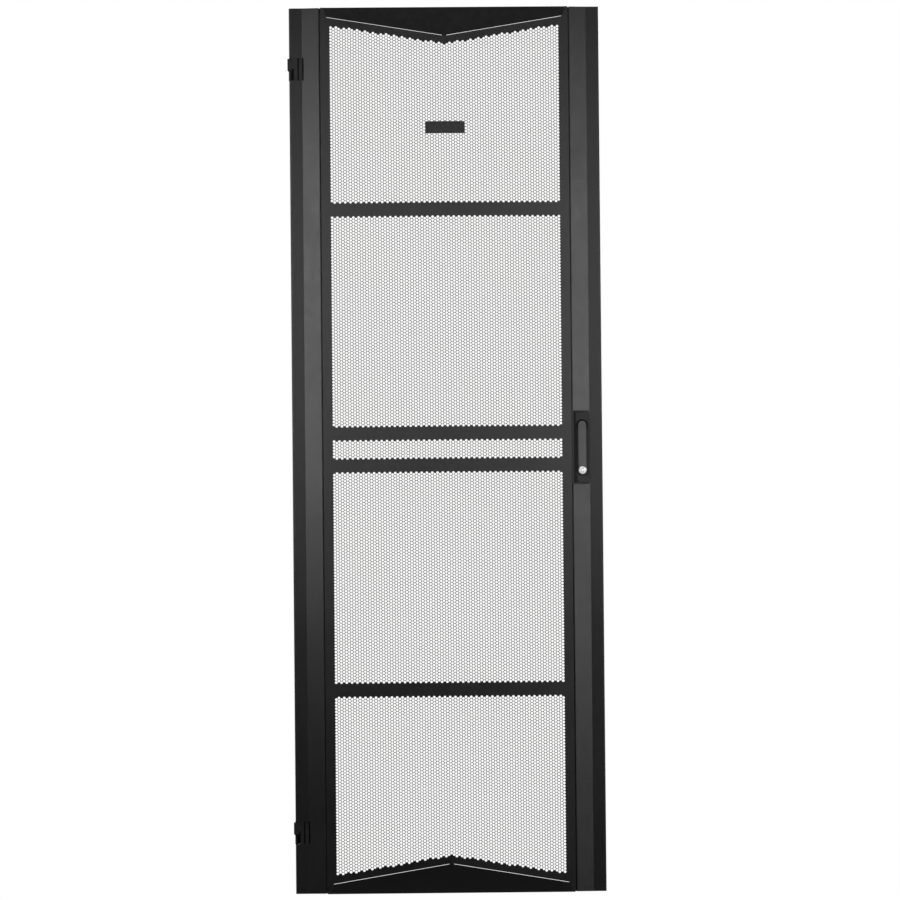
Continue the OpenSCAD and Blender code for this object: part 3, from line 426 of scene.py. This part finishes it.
def made_by_nodes(name, mesh, tree, values):
    """Plain mesh object that a Geometry Nodes tree makes from a mesh and its inputs."""
    piece = bpy.data.objects.new(name, mesh)
    bpy.context.scene.collection.objects.link(piece)
    modifier = piece.modifiers.new("nodes", "NODES")
    modifier.node_group = tree
    for item in tree.interface.items_tree:
        if item.item_type == "SOCKET" and item.name in values:
            modifier[item.identifier] = values[item.name]
    graph = bpy.context.evaluated_depsgraph_get()
    made = bpy.data.meshes.new_from_object(piece.evaluated_get(graph))
    piece.modifiers.remove(modifier)
    piece.data = made
    return piece


def bend_sheet(shape, end=1):
    """Bends a flat sheet about the middle crease and the folds of the V, and puts it in
    place. An end of -1 turns it upside down first."""
    for v in shape.verts:
        x, z, depth = v.co
        v.co = (middle_x + x, sheet_y(x, z) + depth, middle_z + end * z)
    bmesh.ops.recalc_face_normals(shape, faces=shape.faces[:])


def grille_piece(piece, shape):
    """Gives a bent piece of the sheet back to its object, and fixes it to the door."""
    shape.to_mesh(piece.data)
    shape.free()
    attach(piece, "door")
    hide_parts("perforated_panel")


punched_field = punching_tree()
plain_sheet = sheet_tree()
grille_coat = coated_material("grille_coat", color=grey(0.006), rubbed_color=grey(0.018), roughness=0.37, rubbing=0.0)
half_band = BAND / 2
end_first = OUTER_BAND + half_band
end_last = half_height - FOLD_SIDE - LAND
half_columns = (COLUMNS - 1) // 2
no_limit = 10.0
end_limit = half_height - FOLD_MIDDLE - LAND - HOLE / 2
window_loops = []

# name, lowest and highest hole's edge, limit of the holes at the V, name plate or not, end
fields = [
    ("top", end_first, end_last, end_limit, 1, 1),
    ("upper", INNER_BAND + half_band, OUTER_BAND - half_band, no_limit, 0, 1),
    ("middle", half_band - INNER_BAND, INNER_BAND - half_band, no_limit, 0, 1),
    ("lower", INNER_BAND + half_band, OUTER_BAND - half_band, no_limit, 0, -1),
    ("bottom", end_first, end_last, end_limit, 0, -1),
]
for name, first, last, limit, plate, end in fields:
    rows = int((last - first - HOLE) / PITCH) + 1
    values = {
        "Columns": COLUMNS, "Rows": rows, "Pitch": PITCH, "Hole": HOLE, "Thickness": SHEET,
        "Lowest": (first + last) / 2 - (rows - 1) * PITCH / 2 - PITCH / 4,
        "Fold Limit": limit, "Fold Slope": (FOLD_MIDDLE - FOLD_SIDE) / half_width,
        "Plate X": plate * (PLATE_WIDTH - HOLE) / 2, "Plate Z": (PLATE_HEIGHT - HOLE) / 2, "Plate Middle": PLATE_Z,
        "Finish": grille_coat,
    }
    values.update({"First Column": -half_columns, "Last Column": half_columns, "Outline Only": True})
    edge = made_by_nodes("edge", bpy.data.meshes.new("edge"), punched_field, values)
    window_loops.append((edge, end))
    for side, columns in (("left", (-half_columns, -1)), ("right", (0, half_columns))):
        values.update({"First Column": columns[0], "Last Column": columns[1], "Outline Only": False})
        title = f"grille_{name}_{side}"
        piece = made_by_nodes(title, bpy.data.meshes.new(title), punched_field, values)
        shape = bmesh.new()
        shape.from_mesh(piece.data)
        bend_sheet(shape, end)
        grille_piece(piece, shape)

# The plain sheet around the fields, with the long slots along its folds
plain = bmesh.new()
near_x, near_z = half_width - CORNER_CUT, half_height - CORNER_CUT
rim = [(near_x, half_height), (half_width, near_z), (half_width, -near_z), (near_x, -half_height)]
loops = [rim + [(-x, -z) for x, z in rim]]
for side in (-1, 1):
    for end in (-1, 1):
        corners = [(BRIDGE / 2, -1), (slot_end, -1), (slot_end, 1), (BRIDGE / 2, 1)]
        loops.append([(side * x, end * (fold_z(x) + across * SLOT_WIDTH / 2)) for x, across in corners])
for loop in loops:
    corners = [plain.verts.new((x, z, 0)) for x, z in loop]
    for i, corner in enumerate(corners):
        plain.edges.new((corner, corners[i - 1]))
for edge, end in window_loops:
    corners = [plain.verts.new((v.co.x, end * v.co.y, 0)) for v in edge.data.vertices]
    for e in edge.data.edges:
        plain.edges.new([corners[i] for i in e.vertices])
    bpy.data.objects.remove(edge)
loop_mesh = bpy.data.meshes.new("grille_sheet")
plain.to_mesh(loop_mesh)
plain.free()
piece = made_by_nodes("grille_sheet", loop_mesh, plain_sheet, {"Thickness": SHEET, "Finish": grille_coat})


def cut_along(shape, wanted, point, across):
    """Cuts the faces that are wanted along a plane, so that they can bend there."""
    faces = [f for f in shape.faces if wanted(f)]
    edges = list({e for f in faces for e in f.edges})
    corners = list({v for f in faces for v in f.verts})
    bmesh.ops.bisect_plane(shape, geom=corners + edges + faces, dist=1e-6, plane_co=point, plane_no=across)


shape = bmesh.new()
shape.from_mesh(piece.data)
cut_along(shape, lambda face: True, (0, 0, 0), (1, 0, 0))
for side in (-1, 1):
    for end in (-1, 1):
        cut_along(
            shape,
            lambda face: side * face.calc_center_median().x > 0 and max(end * v.co.y for v in face.verts) > end_first,
            (0, end * fold_z(0), 0), (end * (FOLD_SIDE - FOLD_MIDDLE), side * half_width, 0),
        )
        fold_end = Vector((side * slot_end, end * fold_z(slot_end), 0))
        for corner_x in (half_width, half_width - CORNER):
            run = Vector((side * corner_x, end * half_height, 0)) - fold_end
            cut_along(
                shape, lambda face: max(side * v.co.x for v in face.verts) > slot_end - MM
                and max(end * v.co.y for v in face.verts) > fold_z(slot_end) - MM,
                fold_end, (-run.y, run.x, 0),
            )
bend_sheet(shape)
grille_piece(piece, shape)


# Flanges of the sheet. Its sides are bent back beside the pillars, and its ends are
# bent back over the rails, so the sheet is stiff and no cut edge shows in front.
def box_piece(shape, low, high):
    """Adds a box between two corners to a bmesh."""
    made = bmesh.ops.create_cube(shape, size=1)
    for v in made["verts"]:
        v.co = Vector([lo + (hi - lo) * (c + 0.5) for lo, hi, c in zip(low, high, v.co)])
    return made["verts"]


def finished_piece(name, shape, material, body, slot, *nodes):
    """Object from a bmesh, with its material, body and the nodes that it replaces. The slot is not used."""
    bmesh.ops.recalc_face_normals(shape, faces=shape.faces[:])
    mesh = bpy.data.meshes.new(name)
    shape.to_mesh(mesh)
    shape.free()
    mesh.materials.append(material)
    piece = bpy.data.objects.new(name, mesh)
    bpy.context.scene.collection.objects.link(piece)
    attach(piece, body)
    if nodes:
        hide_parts(*nodes)
    return piece


SIDE_FLANGE = 14 * MM
flanges = bmesh.new()
for side in (-1, 1):
    outer = middle_x + side * half_width
    inner = outer - side * SHEET
    box_piece(
        flanges, (min(outer, inner), seam_y + SHEET, panel_low.z + CORNER_CUT),
        (max(outer, inner), seam_y + SIDE_FLANGE, panel_high.z - CORNER_CUT),
    )
for end, z in ((-1, panel_low.z), (1, panel_high.z)):
    inner = z - end * SHEET
    box_piece(
        flanges, (panel_low.x + CORNER_CUT, strip_y + SHEET, min(z, inner)),
        (panel_high.x - CORNER_CUT, panel_high.y, max(z, inner)),
    )
    for side in (-1, 1):
        tip = middle_x + side * near_x
        foot = middle_x + side * (half_width - CORNER)
        depth = sheet_y(near_x, half_height)
        corners = ((foot, strip_y + SHEET), (tip, strip_y + SHEET), (tip, depth + SHEET))
        ends = [[flanges.verts.new((x, y, h)) for x, y in corners] for h in (z, inner)]
        flanges.faces.new(ends[0])
        flanges.faces.new(ends[1])
        for i in range(3):
            flanges.faces.new((ends[0][i], ends[0][i - 1], ends[1][i - 1], ends[1][i]))
finished_piece("grille_flanges", flanges, grille_coat, "door", "powder", "perforated_panel")


# Name plate. A bare plate set into the sheet, bent along the crease like the sheet itself.
# It closes the holes it meets, so its edges are straight.
PLATE_FRONT = 0.15 * MM
PLATE_BACK = 1.0 * MM
name_plate = bmesh.new()
front, back = [
    [
        [
            name_plate.verts.new((middle_x + x, sheet_y(x, PLATE_Z) + depth, middle_z + PLATE_Z + z))
            for x in (-PLATE_WIDTH / 2, 0, PLATE_WIDTH / 2)
        ]
        for z in (-PLATE_HEIGHT / 2, PLATE_HEIGHT / 2)
    ]
    for depth in (PLATE_FRONT, PLATE_BACK)
]
for low, high in (front, back):
    for i in (0, 1):
        name_plate.faces.new((low[i], low[i + 1], high[i + 1], high[i]))
around = [row[0] + row[1][::-1] for row in (front, back)]
for i in range(6):
    name_plate.faces.new((around[0][i], around[0][i - 1], around[1][i - 1], around[1][i]))
finished_piece("name_plate", name_plate, grille_coat, "door", "powder", "perforated_panel")


# Hinges. Each is a lift-off hinge: the rack's half is a bolted plate with a tongue that
# carries the pin, and the door's half is a plate behind the window, rolled round the pin.
# The door's half has two recesses down its front, whose floors are painted near-black as shade.
satin_black = coated_material(
    "satin_black", specular=0.3, color=grey(0.006), rubbed_color=grey(0.09), roughness=0.46, peel_depth=0.1,
    rubbing=0.6,
)
# a near-black, dull material for faces deep in recesses: painted shade
painted_recess_shade = coated_material(
    "painted_recess_shade", specular=0.05, color=grey(0.002), rubbed_color=grey(0.004), roughness=0.8, rubbing=0.0,
)
HINGE_SHOULDER = 1.4 * MM
PILLAR_SHEET = 1.5 * MM
LEAF = 2.5 * MM
NEAR = 0.1 * MM
recess_y = strip_y + PILLAR_SHEET + LEAF / 2
for name in ("upper_rack_hinge", "lower_rack_hinge", "upper_door_hinge", "lower_door_hinge"):
    dress(name, satin_black)
    low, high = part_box(name)
    shape = bmesh.new()
    shape.from_mesh(frame["nodes"][name].data)
    bmesh.ops.remove_doubles(shape, verts=shape.verts[:], dist=1e-6)
    rack_side = "rack" in name
    if rack_side:
        # the plate's ends reach the window's edges, so nothing shows past them
        for v in shape.verts:
            v.co.z += HINGE_SHOULDER * ((v.co.z > high.z - NEAR) - (v.co.z < low.z + NEAR))
    body = "rack_side" if rack_side else "door"
    piece = finished_piece(f"{name}_finished", shape, satin_black, body, "satin", name)
    piece.data.materials.append(painted_recess_shade)
    # the recess floors of the door's half take the near-black material: painted shade in the grooves
    for face in piece.data.polygons:
        in_recess = abs(face.center.y - recess_y) < NEAR and face.normal.y < -0.9
        face.material_index = int(in_recess and not rack_side)


# Zinc-plated steel: crank, rods, clamps and screws. A bright grey plating with faint
# streaks along the rolled bar and a slow change of tone. What can be seen from in front,
# the hub and the hinge pins, is plated black; on the hub the black is also painted shade
# for the pocket round the lever's end.
def plated_surface_group():
    """Colour, roughness and normal of rolled and plated steel."""
    group, given, result = node_group(
        "plated_surface",
        [("Color", grey(0.55)), ("Dull Color", grey(0.32)), ("Roughness", 0.32), ("Streak", 0.5)],
        [("Color", "NodeSocketColor"), ("Roughness", "NodeSocketFloat"), ("Normal", "NodeSocketVector")],
    )
    place = group.nodes.new("ShaderNodeTexCoord").outputs["Object"]
    stretched = group.nodes.new("ShaderNodeMapping")
    stretched.inputs["Scale"].default_value = (1, 1, 0.04)
    group.links.new(place, stretched.inputs["Vector"])
    streaks = noise(group, stretched.outputs[0], 1800.0, 3)
    clouds = noise(group, place, 55.0, 5, 0.6)
    group.links.new(
        blended(group, remap(group, clouds, 0.35, 0.7), given.outputs["Color"], given.outputs["Dull Color"]),
        result.inputs["Color"],
    )
    cloudy = remap(group, clouds, 0.3, 0.7, -0.06, 0.1)
    uneven = maths(group, "ADD", cloudy, remap(group, streaks, 0.3, 0.7, -0.04, 0.06))
    group.links.new(maths(group, "ADD", given.outputs["Roughness"], uneven), result.inputs["Roughness"])
    rounded = group.nodes.new("ShaderNodeBevel")
    rounded.samples = 4
    rounded.inputs["Radius"].default_value = 0.0003
    bump = group.nodes.new("ShaderNodeBump")
    bump.inputs["Distance"].default_value = 0.0001
    group.links.new(given.outputs["Streak"], bump.inputs["Strength"])
    group.links.new(streaks, bump.inputs["Height"])
    group.links.new(rounded.outputs["Normal"], bump.inputs["Normal"])
    group.links.new(bump.outputs["Normal"], result.inputs["Normal"])
    return group


plated_surface = plated_surface_group()
zinc_plate = coated_material("zinc_plate", plated_surface, metallic=1.0, color=grey(0.56, -0.02), roughness=0.3)
black_zinc = coated_material(
    "black_zinc", plated_surface, metallic=0.6, specular=0.3, color=grey(0.012), dull_color=grey(0.006),
    roughness=0.45,
)
for name, slot in [(part["node"], part["material_slot"]) for part in frame["record"]["subparts"]]:
    if slot == "zinc_plate":
        # the hub's black is partly painted shade for the pocket round it
        seen_in_front = name in ("handle_hub", "upper_hinge_pin", "lower_hinge_pin", "hinge_washers")
        dress(name, black_zinc if seen_in_front else zinc_plate)


# Moulded nylon and rubber: the dish of the swing handle, the rods' tips and guides, the
# hinge washers and the buffers. Moulded nylon has a fine spark-eroded grain.
moulded_nylon = coated_material(
    "moulded_nylon", specular=0.2, color=grey(0.034), rubbed_color=grey(0.1), roughness=0.55, peel_size=2600.0,
    peel_depth=0.35, rubbing=0.5, edge_radius=0.0005,
)
soft_rubber = coated_material(
    "soft_rubber", color=grey(0.012), rubbed_color=grey(0.03), roughness=0.75, peel_size=1500.0, rubbing=0.1,
)
for name, slot in [(part["node"], part["material_slot"]) for part in frame["record"]["subparts"]]:
    if slot == "nylon":
        dress(name, moulded_nylon)
    elif slot == "rubber":
        dress(name, soft_rubber)


# Lever and lock. The lever is a die-cast arm in satin black, which turns in a deep
# pocket of the dish whose walls are painted near-black as shade. The lock in its free end
# has a chromed barrel and plug.
# The lever's edges are tinted much lighter: partly wear, partly a painted highlight along its edges.
lever_black = coated_material(
    "lever_black", specular=0.75, color=grey(0.03), rubbed_color=grey(0.25), roughness=0.36, peel_depth=0.05,
    rubbing=0.8, edge_radius=0.0009,
)
dress("handle_lever", lever_black)
POCKET_REACH = 12.6 * MM
hub_low, hub_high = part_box("handle_hub")
pivot = (hub_low + hub_high) / 2
dish_mesh = frame["nodes"]["handle_dish"].data
# faces of the pocket round the pivot take the near-black material: painted shade in the pocket
dish_mesh.materials.append(painted_recess_shade)
for face in dish_mesh.polygons:
    off_axis = math.hypot(face.center.x - pivot.x, face.center.z - pivot.z)
    face.material_index = int(off_axis < POCKET_REACH and face.center.y > strip_y + MM)
bright_chrome = coated_material(
    "bright_chrome", plated_surface, metallic=1.0, color=grey(0.8), dull_color=grey(0.62), roughness=0.16, streak=0.1,
)
for name in ("lock_barrel", "lock_plug"):
    dress(name, bright_chrome)


# Floor and background: a pale floor below the hanging door and a white background. Both
# look white to the camera, and metal sees them too.
def studio_white(tree, lit, lift, target):
    """Adds a plain white light to a shader for the camera and glass rays alone."""
    rays = tree.nodes.new("ShaderNodeLightPath").outputs
    seen = maths(tree, "MAXIMUM", rays["Is Camera Ray"], rays["Is Transmission Ray"])
    white = tree.nodes.new("ShaderNodeEmission")
    tree.links.new(maths(tree, "MULTIPLY", seen, lift), white.inputs["Strength"])
    both = tree.nodes.new("ShaderNodeAddShader")
    tree.links.new(lit, both.inputs[0])
    tree.links.new(white.outputs[0], both.inputs[1])
    tree.links.new(both.outputs[0], target)


FLOOR_SIZE = 3.0
FLOOR_DROP = 0.05
floor_mesh = bpy.data.meshes.new("floor")
reach = FLOOR_SIZE / 2
floor_z = panel_low.z - FLOOR_DROP
floor_mesh.from_pydata(
    [(middle_x + i * reach, j * reach, floor_z) for i, j in ((-1, -1), (1, -1), (1, 1), (-1, 1))], [], [(0, 1, 2, 3)]
)
floor = bpy.data.objects.new("floor", floor_mesh)
bpy.context.scene.collection.objects.link(floor)
floor_paint, shader = new_material("floor_paint")
shader.inputs["Base Color"].default_value = grey(0.5)
shader.inputs["Roughness"].default_value = 0.8
floor_output = floor_paint.node_tree.nodes["Material Output"]
studio_white(floor_paint.node_tree, shader.outputs[0], 1.0, floor_output.inputs["Surface"])
floor_mesh.materials.append(floor_paint)

world = bpy.data.worlds.new("studio")
bpy.context.scene.world = world
world.use_nodes = True
tree = world.node_tree
rays = tree.nodes.new("ShaderNodeLightPath").outputs
direction = tree.nodes.new("ShaderNodeSeparateXYZ")
tree.links.new(tree.nodes.new("ShaderNodeTexCoord").outputs["Generated"], direction.inputs[0])
behind = remap(tree, direction.outputs["Y"], -0.1, 0.5, 0.025, 0.9)
seen = maths(tree, "MAXIMUM", rays["Is Camera Ray"], rays["Is Transmission Ray"])
mirrored = maths(tree, "MAXIMUM", maths(tree, "MULTIPLY", rays["Is Glossy Ray"], behind), 0.025)
tree.links.new(maths(tree, "MAXIMUM", seen, mirrored), tree.nodes["Background"].inputs["Strength"])
tree.nodes["Background"].inputs["Color"].default_value = (1, 1, 1, 1)


# Lights: a tall soft box at each side, level with the door's upper half, gives the
# sloping strips their broad highlight, and a low one at the right carries it on down the
# right-hand strip. A dim one in front, a weak top light and one behind fill the rest.
def soft_box(name, place, aim, width, height, power):
    """Area light that the camera doesn't see, aimed at a point."""
    light = bpy.data.lights.new(name, "AREA")
    light.shape = "RECTANGLE"
    light.size = width
    light.size_y = height
    light.energy = power
    light.spread = math.radians(110)
    lamp = bpy.data.objects.new(name, light)
    lamp.visible_camera = False
    lamp.location = place
    lamp.rotation_euler = (Vector(aim) - Vector(place)).to_track_quat("-Z", "Y").to_euler()
    bpy.context.scene.collection.objects.link(lamp)
    return lamp


SIDE_REACH = 1.15
LOW_REACH = 1.3
BOX_Y = -1.95
glow_z = middle_z + 0.42
foot_z = middle_z - 0.45
for name, side, power in (("left_box", -1, 5.6), ("right_box", 1, 4.6)):
    aim = (middle_x + side * 0.2, 0, glow_z - 0.05)
    soft_box(name, (middle_x + side * SIDE_REACH, BOX_Y, glow_z), aim, 0.6, 1.1, power)
soft_box("low_box", (middle_x + LOW_REACH, BOX_Y, foot_z), (middle_x + 0.3, 0, foot_z), 0.3, 0.9, 1.3)
soft_box("front_box", (middle_x, -2.3, glow_z), (middle_x, 0, glow_z), 0.9, 1.0, 1.7)
soft_box("top_light", (middle_x, -0.9, panel_high.z + 1.3), (middle_x, 0, panel_high.z), 1.4, 0.6, 0.35)
soft_box("back_light", (middle_x + 0.6, 2.6, middle_z + 0.9), (middle_x, 0, middle_z), 1.6, 1.6, 20)

view = bpy.context.scene.view_settings
view.view_transform = "Standard"
